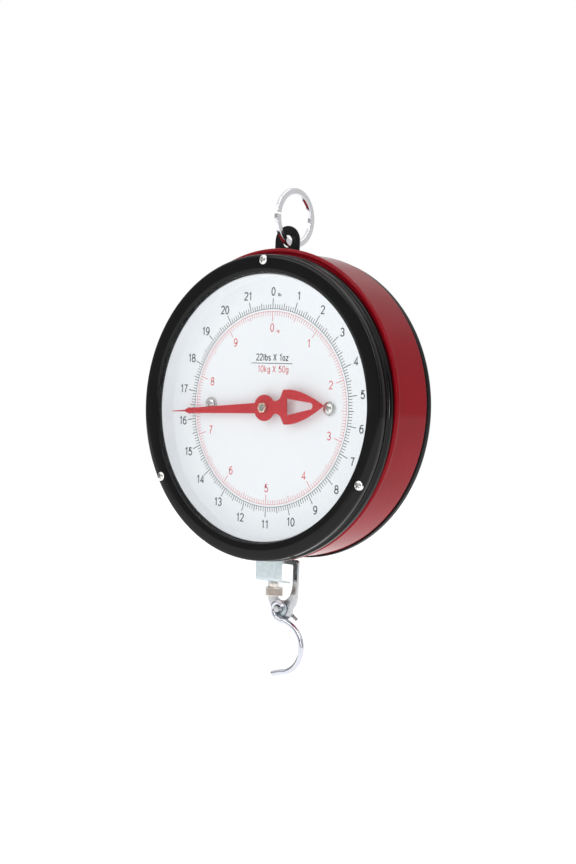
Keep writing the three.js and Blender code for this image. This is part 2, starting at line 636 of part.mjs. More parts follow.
// ---------------------------------------------------------------- hook
// S-shaped round wire: an eye round the pin, a short shank and a wide open bowl.
function hook() {
  const arc = (x, z, radius, from, to, count) => {
    const list = [];
    for (let k = 0; k <= count; k += 1) {
      const angle = (from + (to - from) * k / count) * RAD;
      list.push(new THREE.Vector3(x + radius * Math.cos(angle), HOOK.y, z + radius * Math.sin(angle)));
    }
    return list;
  };
  const bowl = { x: 3.5, z: -158.6, r: 17 };
  const path = [
    ...arc(0, PIN.z, HOOK.eyeR, 20, 195, 7),
    new THREE.Vector3(-2.9, HOOK.y, -138.3),
    new THREE.Vector3(1.2, HOOK.y, -140.8),
    new THREE.Vector3(6.4, HOOK.y, -141.6),
    ...arc(bowl.x, bowl.z, bowl.r, 62, -88, 10),
    new THREE.Vector3(-4.2, HOOK.y, -177.9),
  ];
  const curve = new THREE.CatmullRomCurve3(path, false, 'centripetal');
  return wire(curve, HOOK.wireR, 8, 48);
}
add('hook', 'chrome', hook());

const hangingScale = new THREE.Group();
hangingScale.add(scale);
export default hangingScale;
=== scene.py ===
"""Looks of a hanging dial spring scale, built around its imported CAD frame. Blender 4.5.

Shapes are laid out in millimetres from the centre of the dial's face, as the CAD part is:
X to the reader's right, Y to the back, Z up. place() turns them into the shared frame in metres.
"""

import math
from itertools import product

import bmesh
import bpy
from mathutils import Matrix, Vector


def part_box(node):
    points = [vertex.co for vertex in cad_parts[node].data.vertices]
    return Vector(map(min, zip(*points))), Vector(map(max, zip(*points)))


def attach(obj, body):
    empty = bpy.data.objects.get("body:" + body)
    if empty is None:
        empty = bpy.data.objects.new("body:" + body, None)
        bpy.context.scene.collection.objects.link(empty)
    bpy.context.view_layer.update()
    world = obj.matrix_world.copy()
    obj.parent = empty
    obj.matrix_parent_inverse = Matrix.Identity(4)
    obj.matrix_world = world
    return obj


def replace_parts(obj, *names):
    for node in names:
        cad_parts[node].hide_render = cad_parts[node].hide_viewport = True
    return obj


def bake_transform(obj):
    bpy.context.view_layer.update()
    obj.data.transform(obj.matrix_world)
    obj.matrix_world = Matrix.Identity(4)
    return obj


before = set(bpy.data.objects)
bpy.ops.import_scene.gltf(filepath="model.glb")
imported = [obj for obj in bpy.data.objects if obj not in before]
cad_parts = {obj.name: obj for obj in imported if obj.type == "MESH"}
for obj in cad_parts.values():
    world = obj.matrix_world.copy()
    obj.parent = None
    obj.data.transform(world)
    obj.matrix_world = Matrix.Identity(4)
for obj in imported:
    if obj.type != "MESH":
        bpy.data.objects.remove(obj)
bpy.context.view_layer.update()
SCENE = bpy.context.scene

# ---- places taken from the frame
MM = 0.001
_dial_low, _dial_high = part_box("dial_plate")
DIAL_THICKNESS = 0.8
ORIGIN = Vector(((_dial_low.x + _dial_high.x) / 2, _dial_high.y - DIAL_THICKNESS * MM,
                 (_dial_low.z + _dial_high.z) / 2))


def place(point):
    """A point in millimetres from the dial's centre, as a point of the frame in metres."""
    return ORIGIN + Vector(point) * MM


def local_box(node):
    """Lowest and highest corner of a CAD node, in millimetres from the dial's centre."""
    return [(corner - ORIGIN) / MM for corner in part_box(node)]


def middle(node):
    """Centre of a CAD node's box, in millimetres from the dial's centre."""
    low, high = local_box(node)
    return (low + high) / 2


# ---- driving sizes, millimetres
CASE_R = 101
DRUM_RISE = 2.2  # the drum sits this far above the dial's centre
COVER_RISE = 1.2  # and the rear cover this far
BEZEL_R = 100.8
LIP_R = 88.3
DRUM_END = 35.5
BACK = 52
PIN_Z = -133.8
POINTER_TURN = 266.6  # degrees clockwise from the top

FINE = 256  # sides of the case's round parts
ROUND = 64  # sides of washers, bushes and screw heads
SMALL = 24  # sides of screw holes
CREASE = 32  # degrees between two faces that shade as a hard edge
ON_AXIS = 1e-6  # a radius below this lies on the axis
SCREW_HOLE_R = 1.9
# Faces over the eight corners that product() gives.
BOX_FACES = [[0, 1, 3, 2], [4, 6, 7, 5], [0, 4, 5, 1], [2, 3, 7, 6], [0, 2, 6, 4], [1, 5, 7, 3]]


def clock(radius, degrees):
    """X and Z on a circle about the dial's axis, clockwise from the top."""
    angle = math.radians(degrees)
    return radius * math.sin(angle), radius * math.cos(angle)


# ---- mesh helpers
# A shape is (points, faces), with its points in millimetres.
def joined(*shapes):
    points, faces = [], []
    for more_points, more_faces in shapes:
        base = len(points)
        points += more_points
        faces += [[base + i for i in face] for face in more_faces]
    return points, faces


def moved(shape, matrix):
    points, faces = shape
    return [tuple(matrix @ Vector(p)) for p in points], faces


def shifted(shape, x=0.0, y=0.0):
    return moved(shape, Matrix.Translation((x, y, 0)))


def bar(inner, outer, low, high):
    """A rectangular profile, from one radius and height to another."""
    return [(inner, low), (outer, low), (outer, high), (inner, high)]


def rounded(profile, radius, steps=4):
    """A closed profile with its corners rounded; those on the axis or left of it stay sharp."""
    result = []
    for i, corner in enumerate(profile):
        here = Vector(corner)
        if here.x < ON_AXIS:
            result.append(tuple(here))
            continue
        back = Vector(profile[i - 1]) - here
        ahead = Vector(profile[(i + 1) % len(profile)]) - here
        trim = min(radius, 0.45 * back.length, 0.45 * ahead.length)
        start = here + back.normalized() * trim
        end = here + ahead.normalized() * trim
        if back.length > 5 * trim:
            result.append(tuple(here + back.normalized() * 2 * trim))
        for k in range(steps + 1):
            t = k / steps
            result.append(tuple(start * (1 - t) ** 2 + here * 2 * t * (1 - t) + end * t * t))
        if ahead.length > 5 * trim:
            result.append(tuple(here + ahead.normalized() * 2 * trim))
    return result


def lathe(profile, sides=FINE, x=0.0, z=0.0):
    """A closed body of revolution about a Y axis through (x, z); the profile lists (radius, y)."""
    points, faces, rings = [], [], []
    for radius, y in profile:
        first = len(points)
        if radius < ON_AXIS:
            points.append((x, y, z))
            rings.append([first])
            continue
        rings.append(list(range(first, first + sides)))
        for k in range(sides):
            angle = 2 * math.pi * k / sides
            points.append((x + radius * math.sin(angle), y, z + radius * math.cos(angle)))
    for here, there in zip(rings, rings[1:] + rings[:1]):
        if len(here) == 1 and len(there) == 1:
            continue
        for k in range(sides):
            n = (k + 1) % sides
            corners = ((here, k), (here, n), (there, n), (there, k))
            face = [ring[corner % len(ring)] for ring, corner in corners]
            faces.append(list(dict.fromkeys(face)))
    return points, faces


QUARTER_TURN = Matrix.Rotation(math.pi / 2, 4, "X")


def upright(profile, sides, x, y):
    """A closed body of revolution about an upright axis through (x, y); the profile lists (radius, z)."""
    return shifted(moved(lathe(profile, sides), QUARTER_TURN), x, y)


def skin(rings, sides):
    """Faces over rings of points that follow one another, with a cap on each end."""
    faces = []
    for ring in range(rings - 1):
        a, b = ring * sides, (ring + 1) * sides
        for k in range(sides):
            n = (k + 1) % sides
            faces.append([a + k, a + n, b + n, b + k])
    return [*faces, list(range(sides)), list(range((rings - 1) * sides, rings * sides))]


def tube(path, section):
    """A section, given as (side, up) offsets, swept along a path with its frame carried smoothly."""
    path = [Vector(p) for p in path]
    ways = zip(path[:1] + path, path[1:] + path[-1:])
    tangents = [(ahead - back).normalized() for back, ahead in ways]
    up = tangents[0].orthogonal().normalized()
    if abs(tangents[0].x) < 0.9:
        up = (Vector((1, 0, 0)) - tangents[0] * tangents[0].x).normalized()
    points = []
    for i, (centre, tangent) in enumerate(zip(path, tangents)):
        up = (up - tangent * up.dot(tangent)).normalized()
        side = tangent.cross(up)
        outline = section(i / (len(path) - 1)) if callable(section) else section
        points += [tuple(centre + side * a + up * b) for a, b in outline]
    return points, skin(len(path), len(points) // len(path))


def wire(path, radius, sides):
    """A round wire whose two ends are rounded off over one radius."""
    path = [Vector(p) for p in path]
    stops = [0.0, 0.1, 0.3, 0.6, 1.0]
    ends = []
    for end, inner in ((path[0], path[1]), (path[-1], path[-2])):
        way = (inner - end).normalized()
        ends.append([(end + way * radius * s, math.sqrt(max(0.03, 1 - (1 - s) ** 2))) for s in stops])
    head, tail = ends
    reach = radius * 1.05
    body = [(p, 1.0) for p in path if (p - path[0]).length > reach and (p - path[-1]).length > reach]
    whole = head + body + tail[::-1]
    scales = [scale for _, scale in whole]
    return tube([p for p, _ in whole],
                lambda t: circle(0, 0, radius * scales[round(t * (len(scales) - 1))], sides))


def arc(x, z, radius, start, end, count):
    """Points of an arc, with angles in degrees anticlockwise from +X."""
    points = []
    for k in range(count + 1):
        angle = math.radians(start + (end - start) * k / count)
        points.append((x + radius * math.cos(angle), z + radius * math.sin(angle)))
    return points


def circle(x, z, radius, sides=48):
    return arc(x, z, radius, 0, 360 * (sides - 1) / sides, sides - 1)


def bend(start, control, end, count):
    """Points of a quadratic curve, without its first one."""
    a, b, c = Vector(start), Vector(control), Vector(end)
    steps = [k / count for k in range(1, count + 1)]
    return [tuple(a * (1 - t) ** 2 + b * 2 * t * (1 - t) + c * t * t) for t in steps]


def smooth_path(points, per_span):
    """A Catmull-Rom curve through points, centripetal, as the CAD wires follow."""
    knots = [Vector(p) for p in points]
    knots = [2 * knots[0] - knots[1], *knots, 2 * knots[-1] - knots[-2]]
    result = []

    def mixed(first, second, start, end, t):
        return first * (end - t) / (end - start) + second * (t - start) / (end - start)

    for p0, p1, p2, p3 in zip(knots, knots[1:], knots[2:], knots[3:]):
        t0 = 0.0
        t1 = t0 + math.sqrt((p1 - p0).length)
        t2 = t1 + math.sqrt((p2 - p1).length)
        t3 = t2 + math.sqrt((p3 - p2).length)
        for k in range(per_span):
            t = t1 + (t2 - t1) * k / per_span
            a1, a2, a3 = mixed(p0, p1, t0, t1, t), mixed(p1, p2, t1, t2, t), mixed(p2, p3, t2, t3, t)
            b1, b2 = mixed(a1, a2, t0, t2, t), mixed(a2, a3, t1, t3, t)
            result.append(mixed(b1, b2, t1, t2, t))
    return [*result, knots[-2]]


def to_mesh(name, shape, crease=CREASE):
    """A mesh in the frame, with its faces pointing out and its hard edges marked sharp."""
    points, faces = shape
    mesh = bpy.data.meshes.new(name)
    mesh.from_pydata([place(p) for p in points], [], faces)
    work = bmesh.new()
    work.from_mesh(mesh)
    bmesh.ops.remove_doubles(work, verts=work.verts, dist=1e-7)
    bmesh.ops.recalc_face_normals(work, faces=work.faces)
    work.to_mesh(mesh)
    work.free()
    shade(mesh, crease)
    return mesh


def shade(mesh, crease):
    mesh.polygons.foreach_set("use_smooth", [True] * len(mesh.polygons))
    mesh.set_sharp_from_angle(angle=math.radians(crease))


def add_object(name, data):
    obj = bpy.data.objects.new(name, data)
    SCENE.collection.objects.link(obj)
    return obj


def worked_out(obj):
    """A mesh of an object with its curve settings or modifiers applied."""
    bpy.context.view_layer.update()
    return bpy.data.meshes.new_from_object(obj.evaluated_get(bpy.context.evaluated_depsgraph_get()))


def stamped(outline, holes, thickness, bevel, segments):
    """A plate cut from sheet, as a shape: the outline in X and Z, its front face at Y = 0."""
    curve = bpy.data.curves.new("stamping", "CURVE")
    curve.dimensions = "2D"
    curve.fill_mode = "BOTH"
    curve.extrude = thickness / 2 - bevel
    curve.bevel_depth = bevel
    curve.bevel_resolution = segments
    curve.offset = -bevel
    for loop in [outline, *holes]:
        spline = curve.splines.new("POLY")
        spline.points.add(len(loop) - 1)
        for target, (x, z) in zip(spline.points, loop):
            target.co = (x, z, 0, 1)
        spline.use_cyclic_u = True
    holder = add_object("stamping", curve)
    mesh = worked_out(holder)
    points = [(v.co.x, thickness / 2 - v.co.z, v.co.y) for v in mesh.vertices]
    faces = [list(p.vertices) for p in mesh.polygons]
    bpy.data.objects.remove(holder)
    bpy.data.meshes.remove(mesh)
    bpy.data.curves.remove(curve)
    return points, faces


def cut(obj, shape, operation="DIFFERENCE"):
    """Cuts a shape out of an object, or joins it on, exactly."""
    tool = add_object("tool", to_mesh("tool", shape))
    modifier = obj.modifiers.new("cut", "BOOLEAN")
    modifier.operation = operation
    modifier.solver = "EXACT"
    modifier.object = tool
    mesh = worked_out(obj)
    obj.modifiers.clear()
    obj.data = mesh
    shade(mesh, CREASE)
    bpy.data.objects.remove(tool)


def bore(obj, node, profile, sides=SMALL):
    """Cuts a body of revolution out of an object, about the Y axis of a node."""
    centre = middle(node)
    cut(obj, lathe(profile, sides, centre.x, centre.z))


def piece(name, shape, look, body, nodes=(), crease=CREASE):
    """One finished piece of the object: the body it rides, the nodes it stands for."""
    obj = add_object(name, to_mesh(name, shape, crease))
    obj.data.materials.append(look)
    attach(obj, body)
    if nodes:
        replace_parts(obj, *nodes)
    return obj


# ---- materials
NOISE_LOW, NOISE_HIGH = 0.3, 0.7  # noise between these values runs through a ramp from end to end


def fill(node, **inputs):
    """Sets a node's inputs to values, or links them to sockets."""
    for key, value in inputs.items():
        socket = node.inputs[key.replace("_", " ")]
        if isinstance(value, bpy.types.NodeSocket):
            node.id_data.links.new(value, socket)
        else:
            socket.default_value = value
    return node


class Nodes:
    """A material with a Principled shader, and short ways to add noise, colour and bump to it."""

    def __init__(self, name, **inputs):
        self.material = bpy.data.materials.new(name)
        self.material.use_nodes = True
        self.tree = self.material.node_tree
        self.shader = fill(self.tree.nodes["Principled BSDF"], **inputs)
        self.place = self.add("TexCoord").outputs["Object"]

    def add(self, kind, **inputs):
        return fill(self.tree.nodes.new("ShaderNode" + kind), **inputs)

    def noise(self, scale, detail=3.0, stretch=None):
        place_in = self.place
        if stretch is not None:
            place_in = self.add("Mapping", Vector=place_in, Scale=stretch).outputs["Vector"]
        return self.add("TexNoise", Vector=place_in, Scale=scale, Detail=detail).outputs["Fac"]

    def ramp(self, source, low, high):
        node = self.add("MapRange", Value=source, To_Min=low, To_Max=high, From_Min=NOISE_LOW,
                        From_Max=NOISE_HIGH)
        return node.outputs["Result"]

    def blend(self, source, first, second):
        node = self.tree.nodes.new("ShaderNodeMix")
        node.data_type = "RGBA"
        colours = [socket for socket in node.inputs if socket.type == "RGBA"]
        colours[0].default_value = (*first, 1)
        colours[1].default_value = (*second, 1)
        fill(node, Factor=self.ramp(source, 0, 1))
        return next(socket for socket in node.outputs if socket.type == "RGBA")

    def colour(self, source):
        fill(self.shader, Base_Color=source)

    def roughness(self, source):
        fill(self.shader, Roughness=source)

    def bump(self, *layers):
        """Layers are (height, distance in millimetres), each laid on the one before."""
        normal = {}
        for height, distance in layers:
            node = self.add("Bump", Strength=1.0, Distance=distance * MM, Height=height, **normal)
            normal = {"Normal": node.outputs["Normal"]}
        fill(self.shader, **normal)


def painted(name, base, shade_to, roughness, peel, specular=0.5):
    """Baked enamel: a slight orange peel, a little colour drift and fine dust in the gloss."""
    m = Nodes(name, Specular_IOR_Level=specular)
    m.colour(m.blend(m.noise(35), base, shade_to))
    m.roughness(m.ramp(m.noise(900, 2), roughness * 0.85, roughness * 1.15))
    m.bump((m.noise(420, 2), peel), (m.noise(2600, 2), peel * 0.15))
    return m.material


def moulded(name, base, shade_to, roughness, grain, specular=0.5):
    """Moulded plastic with a fine satin grain and faint flow marks."""
    m = Nodes(name, Specular_IOR_Level=specular)
    m.colour(m.blend(m.noise(60), base, shade_to))
    m.roughness(m.ramp(m.noise(130, 4), roughness * 0.88, roughness * 1.12))
    m.bump((m.noise(3200, 2), grain), (m.noise(45, 2), grain * 4))
    return m.material


def plated(name, base, shade_to, roughness, streak=(1, 1, 1), depth=0.003, mottle=120):
    """Plated or bare metal; streak stretches the fine marks along a direction."""
    m = Nodes(name, Metallic=1.0)
    m.colour(m.blend(m.noise(mottle, 4), base, shade_to))
    m.roughness(m.ramp(m.noise(700, 3, streak), roughness * 0.75, roughness * 1.25))
    m.bump((m.noise(1500, 3, streak), depth))
    return m.material


RED_ENAMEL = painted("red_enamel", (0.26, 0.003, 0.009), (0.30, 0.004, 0.012), 0.12, 0.0015, 0.13)
BLACK_PLASTIC = moulded("black_plastic", (0.0025, 0.0025, 0.003), (0.004, 0.004, 0.0045), 0.1, 0.0008, 0.24)
REAR_PLASTIC = moulded("rear_plastic", (0.003, 0.003, 0.0035), (0.0045, 0.0045, 0.005), 0.3, 0.002, 0.13)
GASKET = moulded("gasket_rubber", (0.008, 0.008, 0.008), (0.012, 0.012, 0.012), 0.6, 0.01, 0.3)
BLACK_ENAMEL = painted("black_enamel", (0.003, 0.003, 0.003), (0.005, 0.005, 0.005), 0.35, 0.01, 0.2)
WHITE_ENAMEL = painted("white_enamel", (0.88, 0.915, 0.94), (0.90, 0.93, 0.955), 0.42, 0.003)
POINTER_RED = painted("pointer_red", (0.50, 0.012, 0.018), (0.55, 0.016, 0.022), 0.4, 0.008, 0.2)
PRINT_BLACK = painted("print_black", (0.015, 0.015, 0.017), (0.025, 0.025, 0.027), 0.5, 0.002)
PRINT_RED = painted("print_red", (0.66, 0.03, 0.045), (0.72, 0.045, 0.06), 0.5, 0.002)
CHROME = plated("chrome", (0.76, 0.76, 0.79), (0.81, 0.81, 0.84), 0.15, depth=0.0006, mottle=40)
HOOK_CHROME = plated("hook_chrome", (0.62, 0.63, 0.69), (0.68, 0.69, 0.75), 0.14, depth=0.0008, mottle=40)
ZINC = plated("zinc_plate", (0.54, 0.62, 0.65), (0.64, 0.71, 0.73), 0.34, depth=0.003, mottle=260)
STEEL = plated("polished_steel", (0.50, 0.51, 0.52), (0.58, 0.59, 0.60), 0.26, (1, 1, 0.12), 0.002)
NICKEL = plated("plated_steel", (0.74, 0.74, 0.73), (0.80, 0.80, 0.78), 0.2, depth=0.0015)
SPRING = plated("spring_steel", (0.36, 0.37, 0.39), (0.48, 0.49, 0.50), 0.3, depth=0.002)
BRASS = plated("brass", (0.66, 0.47, 0.22), (0.74, 0.55, 0.28), 0.26, depth=0.002)
PALE_BRASS = plated("pale_brass", (0.78, 0.66, 0.50), (0.84, 0.72, 0.56), 0.28, depth=0.002)
KNURLED = plated("nickelled_brass", (0.86, 0.80, 0.74), (0.92, 0.87, 0.82), 0.3, depth=0.002)
# Dark brass for the core under the knurling: painted shade in the knurl's groove bottoms.
KNURL_SHADE = plated("knurl_painted_shade", (0.15, 0.115, 0.09), (0.20, 0.155, 0.12), 0.5, depth=0.003)
NYLON = moulded("nylon", (0.74, 0.72, 0.64), (0.80, 0.78, 0.70), 0.5, 0.004)
CLEAR_TINT = (0.50, 0.53, 0.56, 1)
CLEAR = Nodes("clear_plastic", Base_Color=CLEAR_TINT, Roughness=0.04, IOR=1.49, Alpha=0.035).material

# ---- camera
# Where it stands about the dial's centre, and how far off that centre it aims, in millimetres.
AZIMUTH = math.radians(38.666)
ELEVATION = math.radians(1.088)
ROLL = math.radians(2.174)
DISTANCE = 1145.4
AIM_RIGHT = 12.4
AIM_UP = -15.8
FOCAL_LENGTH, SENSOR_WIDTH = 72.5, 36
CLIP_END = 50  # metres


def add_camera():
    outward = math.cos(ELEVATION)
    back = Vector((math.sin(AZIMUTH) * outward, -math.cos(AZIMUTH) * outward, math.sin(ELEVATION)))
    level = Vector((math.cos(AZIMUTH), math.sin(AZIMUTH), 0))
    rise = back.cross(level)
    right = level * math.cos(ROLL) + rise * math.sin(ROLL)
    up = rise * math.cos(ROLL) - level * math.sin(ROLL)
    data = bpy.data.cameras.new("camera")
    data.lens = FOCAL_LENGTH
    data.sensor_width = SENSOR_WIDTH
    data.clip_end = CLIP_END
    camera = add_object("camera", data)
    matrix = Matrix((right, up, back)).transposed().to_4x4()
    matrix.translation = place(back * DISTANCE + right * AIM_RIGHT + up * AIM_UP)
    camera.matrix_world = matrix
    SCENE.camera = camera


add_camera()


# ---- hanging ring
def hanging_ring():
    """A split ring of flat wire with its edges eased on one side, standing across the tab."""
    low, high = local_box("hanging_ring")
    centre = (low + high) / 2
    outer = (high.z - low.z) / 2
    radial, across = 4.5, high.x - low.x
    mean = outer - radial / 2
    flat = bar(-across / 2, across / 2, -radial / 2, radial / 2)
    section = [(b, a) for a, b in rounded(flat, 0.8, 5)]
    gap_middle = 180 - math.degrees(math.asin(1.5 / mean))
    half_gap = math.degrees(0.55 / mean)
    path = arc(centre.y, centre.z, mean, gap_middle + half_gap, gap_middle + 360 - half_gap, 200)
    return tube([(centre.x, y, z) for y, z in path], section)


piece("hanging_ring_wire", hanging_ring(), CHROME, "ring", ["hanging_ring"])


# ---- hanger plate
TAB_HALF, TAB_TOP, TAB_HOLE_Z = 10, 121, 110.8
TAB_HOLE_R = 4.1  # 0.2 wider than the CAD hole, so that the ring swings clear of its rim
PLATE_Y, PLATE_T = 12, 1.6
SPRING_X, SPRING_TOP, SPRING_BOTTOM = 30, 68, -52
POST_Z = {"top": 42, "bottom": -28}
PILLARS = list(product((-13.5, 13.5), (18, -18)))


def mirrored(points):
    return [(-x, z) for x, z in reversed(points)]


def hanger_plate():
    """The backbone: a tab on top, shoulders for the two springs and a long leg down the middle."""
    right = [(TAB_HALF, 80), (38, 76), (38, 62), (17, 54), (17, -34)]
    outline = [*arc(0, TAB_TOP - TAB_HALF, TAB_HALF, 180, 0, 48), *right, *mirrored(right)]
    holes = [circle(0, TAB_HOLE_Z, TAB_HOLE_R), circle(0, 0, 4)]  # for the ring, and round the spindle
    holes += [circle(x, SPRING_TOP, 2.3, SMALL) for x in (-SPRING_X, SPRING_X)]
    holes += [circle(0, z, 2, SMALL) for z in POST_Z.values()]
    holes += [circle(x, z, 1.4, SMALL) for x, z in PILLARS]
    return shifted(stamped(outline, holes, PLATE_T, 0.3, 3), y=PLATE_Y)


piece("hanger_plate_sheet", hanger_plate(), BLACK_ENAMEL, "case", ["hanger_plate"])


# ---- case drum
def case_drum():
    """A drum with a round bead in front, a turned-in flange behind, and the tab and load slots."""
    bead = [(CASE_R, 4.8), (101.3, 4.1), (101.9, 3.6), *arc(101.2, 1.8, 1.8, 52, -128, 15), (99.6, 1.0)]
    front = [*bead, (91.5, 1.0), (91.5, 2.0), (98.6, 2.1), (99.9, 3.4)]
    corner = arc(CASE_R - 0.7, DRUM_END - 0.7, 0.7, 90, 0, 6)
    rear = [(99.9, DRUM_END - 1.1), (93, DRUM_END - 1.1), (93, DRUM_END), *corner,
            (CASE_R, DRUM_END - 1.6), (CASE_R, 6)]
    obj = piece("case_drum_shell", lathe([*front, *rear], z=DRUM_RISE), RED_ENAMEL, "case",
                ["case_drum"])
    gap = 0.5
    tab_slot = product((-TAB_HALF - gap, TAB_HALF + gap), (PLATE_Y - gap, PLATE_Y + PLATE_T + gap), (90, 110))
    cut(obj, (list(tab_slot), BOX_FACES))
    load_slot = stamped(rounded(bar(-13.5, 13.5, 4.8, 25), 1.5), [], 20, 0.01, 0)
    cut(obj, moved(load_slot, Matrix(((1, 0, 0, 0), (0, 0, 1, 0), (0, 1, 0, -110), (0, 0, 0, 1)))))
    for number in (1, 2, 3):
        bore(obj, f"bezel_screw_{number}", bar(0, SCREW_HOLE_R, -1, 4))
        bore(obj, f"rear_screw_{number}", bar(0, SCREW_HOLE_R, 30, 40))


case_drum()


# ---- bezel
def bezel():
    """A hollow domed ring with a waist on its side and sunk seats for its three screws."""
    outside = [(LIP_R, -11.3), (LIP_R, -12.2), (88.9, -12.85), (90.5, -13.15), (93, -13.3), (96, -13.35),
               (98, -13.2), (99.2, -12.85), (99.9, -12.2), (100.2, -11.3), (100.2, -9.2), (99.6, -6.8),
               (99.1, -5.6), (99.3, -4.6), (100.2, -3.8), (BEZEL_R, -3), (BEZEL_R, -0.4)]
    inside = [(96.6, -0.4), (96.6, -10.8), (92.9, -10.8), (92.9, -0.4), (90.9, -0.4), (90.9, -11.3)]
    obj = piece("bezel_moulding", lathe(rounded([*outside, *inside], 0.45, 3)), BLACK_PLASTIC, "case",
                ["bezel"])
    stepped = [(0, -20), (3.6, -20), (3.6, -12.05), (SCREW_HOLE_R, -12.05), (SCREW_HOLE_R, 1), (0, 1)]
    for number in (1, 2, 3):
        bore(obj, f"bezel_screw_{number}", stepped, ROUND)


bezel()


# ---- screws
SHANK_R = 1.5
# Section of a domed head, as shares of its radius and its height.
CROWN = [(0, 1), (0.35, 0.985), (0.62, 0.9), (0.84, 0.68), (0.96, 0.38), (1, 0.12), (0.985, 0)]


def cross_recess(radius, depth):
    """A tapered cross-shaped cutter that points to +Y from Y = 0."""
    def arm(length, width):
        points = [(sx * length * taper, y, sz * width * taper)
                  for taper, y in ((1.0, -0.6), (0.7, depth)) for sx, sz in product((-1, 1), (-1, 1))]
        return points, BOX_FACES
    return arm(radius, radius * 0.3), arm(radius * 0.3, radius)


def pan_head(node, x, z, seat, head_r, head_t, tip, spin, facing=1):
    """A pan-head screw with a cross recess; facing is 1 for a head that looks to -Y, else -1."""
    crown = [(head_r * out, -head_t * up) for out, up in CROWN]
    length = abs(tip - seat)
    profile = [*crown, (SHANK_R, 0), (SHANK_R, length - SHANK_R), (0, length)]
    flip = Matrix.Scale(facing, 4, (0, 1, 0))
    spot = Matrix.Translation((x, seat, z)) @ Matrix.Rotation(math.radians(spin), 4, "Y") @ flip
    obj = piece(f"{node}_head", moved(lathe(profile, ROUND), spot), NICKEL, "case", [node])
    start = Matrix.Translation((0, -head_t, 0))
    for arm in cross_recess(head_r * 0.62, head_t * 0.8):
        cut(obj, moved(arm, spot @ start))


for number, spin in ((1, 12), (2, 38), (3, -25)):
    centre = middle(f"bezel_screw_{number}")
    pan_head(f"bezel_screw_{number}", centre.x, centre.z, -12.1, 3.45, 2.2, 7, spin)
for side, spin in (("left", 20), ("right", -8)):
    centre = middle(f"dial_screw_{side}")
    pan_head(f"dial_screw_{side}", centre.x, centre.z, -1.2, 3.3, 1.4, 5, spin)
    washer = lathe(rounded(bar(1.8, 4.8, -0.95, -0.3), 0.15), ROUND, centre.x, centre.z)
    piece(f"dial_washer_{side}_ring", washer, NICKEL, "case", [f"dial_washer_{side}"])
for number, spin in ((1, 30), (2, -15), (3, 5)):
    centre = middle(f"rear_screw_{number}")
    pan_head(f"rear_screw_{number}", centre.x, centre.z, 40.25, 3.1, 1.9, 31, spin, -1)
for where, z in POST_Z.items():
    pan_head(f"case_post_screw_{where}", 0, z, 49.65, 3.6, 1.9, 38.6, 10 + z, -1)


# ---- lens, gasket, dial
def lens():
    """A clear lens with a raised flat centre inside a sloping border."""
    front = [(0, -12.6), (40, -12.6), (76, -12.6), (78.6, -12.55), (79.2, -12.45), (79.8, -12.3),
             (86.8, -11.1), (87.6, -11), (88.6, -11), (90.3, -11), (90.5, -10.8)]
    back = [(90.5, -9.7), (90.3, -9.5), (87.2, -9.5), (86.6, -9.6), (79.6, -10.8), (78.4, -11),
            (76, -11.05), (40, -11.05), (0, -11.05)]
    return lathe([*front, *back])


piece("lens_cover", lens(), CLEAR, "case", ["lens"])
gasket = lathe(rounded(bar(LIP_R, 90.6, -9.2, 0.6), 0.3))
piece("lens_gasket_ring", gasket, GASKET, "case", ["lens_gasket"])


def dial_plate():
    """A flat dial with a raised wall round it, standing forward to the lens."""
    fillet = bend((84.4, 0), (86.2, 0), (86.5, -2.4), 10)
    rim = [(87, -8.6), (87.2, -9), (87.7, -9), (87.9, -8.7), (87.9, 0.4), (87.5, DIAL_THICKNESS)]
    profile = [(4.2, 0), (40, 0), (84.4, 0), *fillet, *rim, (4.2, DIAL_THICKNESS)]
    obj = piece("dial_plate_sheet", lathe(profile), WHITE_ENAMEL, "case", ["dial_plate"])
    for side in ("left", "right"):
        bore(obj, f"dial_screw_{side}", bar(0, SCREW_HOLE_R, -1, 2))


dial_plate()


# ---- dial print
INK_FRONT, INK_BACK = -0.04, 0.01
POUND_R, KILO_R = 65.3, 63.6  # radii of the two graduation circles
POUNDS, KILOS = 22, 10
POUND_PARTS, KILO_PARTS = 10, 20  # marks to each pound and kilogram
# Where marks end and how wide they are, for a part, a half and a whole.
POUND_MARKS = [(68.3, 0.4), (69.4, 0.46), (72.2, 0.5)]
KILO_MARKS = [(60.7, 0.27), (59.5, 0.3), (57.2, 0.36)]
POUND_NUMBERS_R, KILO_NUMBERS_R = 76.7, 52.9
NUMBER_HEIGHT, CAPTION_HEIGHT = 5.1, 4.2


def ink(loop):
    """A closed outline in X and Z as a thin printed layer on the dial's face."""
    count = len(loop)
    points = [(x, y, z) for y in (INK_FRONT, INK_BACK) for x, z in loop]
    sides = [[k, (k + 1) % count, count + (k + 1) % count, count + k] for k in range(count)]
    return points, [list(range(count)), list(range(count, 2 * count)), *sides]


def tick(angle, inner, outer, width):
    (x0, z0), (x1, z1) = clock(inner, angle), clock(outer, angle)
    across = clock(width / 2, angle + 90)
    return ink([(x0 - across[0], z0 - across[1]), (x1 - across[0], z1 - across[1]),
                (x1 + across[0], z1 + across[1]), (x0 + across[0], z0 + across[1])])


def ring_print(radius, width):
    return lathe(bar(radius - width / 2, radius + width / 2, INK_FRONT, INK_BACK), 360)


